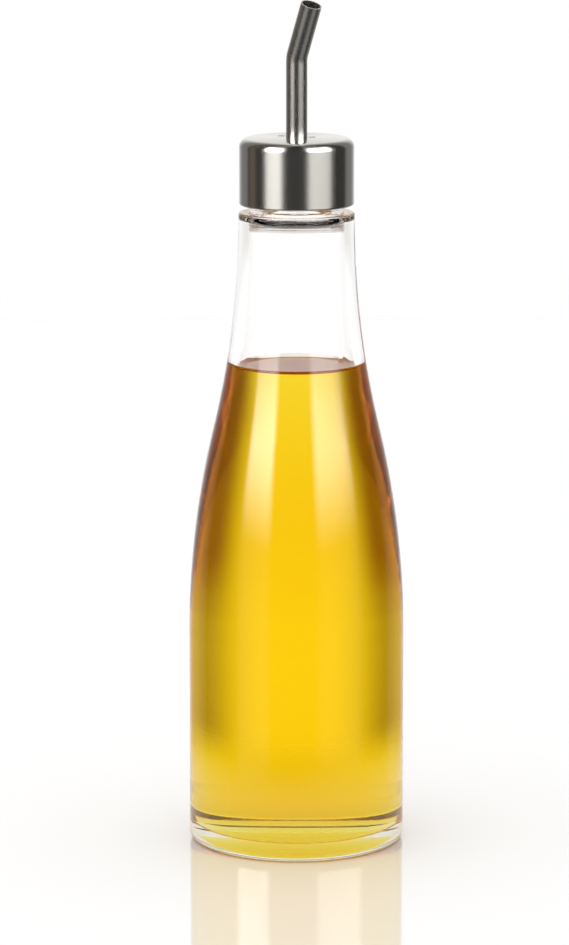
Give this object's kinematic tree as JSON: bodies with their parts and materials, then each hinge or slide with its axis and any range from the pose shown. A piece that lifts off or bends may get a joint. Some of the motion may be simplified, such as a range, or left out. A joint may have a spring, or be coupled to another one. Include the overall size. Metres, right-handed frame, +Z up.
{
  "type": "glass oil bottle",
  "caption": "Clear round glass bottle for cooking oil, with a screw-on steel cap that carries a bent steel pouring tube between two air holes.",
  "frame": {"origin": "centre of the base, on the surface that the bottle stands on", "axes": "+Z up along the bottle's axis, +X the side to which the pouring tube bends"},
  "size_m": [0.072, 0.072, 0.2825],
  "materials": {
    "clear_glass": "gloss",
    "oil": "gloss",
    "brushed_steel": "satin",
    "polished_steel": "polished",
    "white_plastic": "satin",
    "silicone": "matte"
  },
  "bodies": {
    "bottle": {"glass_bottle": "clear_glass", "olive_oil": "oil"},
    "gasket": {"lip_gasket": "silicone"},
    "cap": {"cap_shell": "brushed_steel", "cap_insert": "white_plastic", "spout_tube": "polished_steel", "spout_flange": "polished_steel", "spout_gasket": "silicone"}
  },
  "joints": [
    {"name": "cap_rise", "type": "slide", "parent": "bottle", "child": "gasket", "axis": [0, 0, 1], "range_m": [0, 0.00525]},
    {"name": "cap_turn", "type": "hinge", "parent": "gasket", "child": "cap", "pos_m": [0, 0, 0.215], "axis": [0, 0, 1], "range_deg": [0, 540]}
  ],
  "couplings": [
    {"joint": "cap_rise", "follows": "cap_turn", "m_per_rad": 0.00055704}
  ]
}
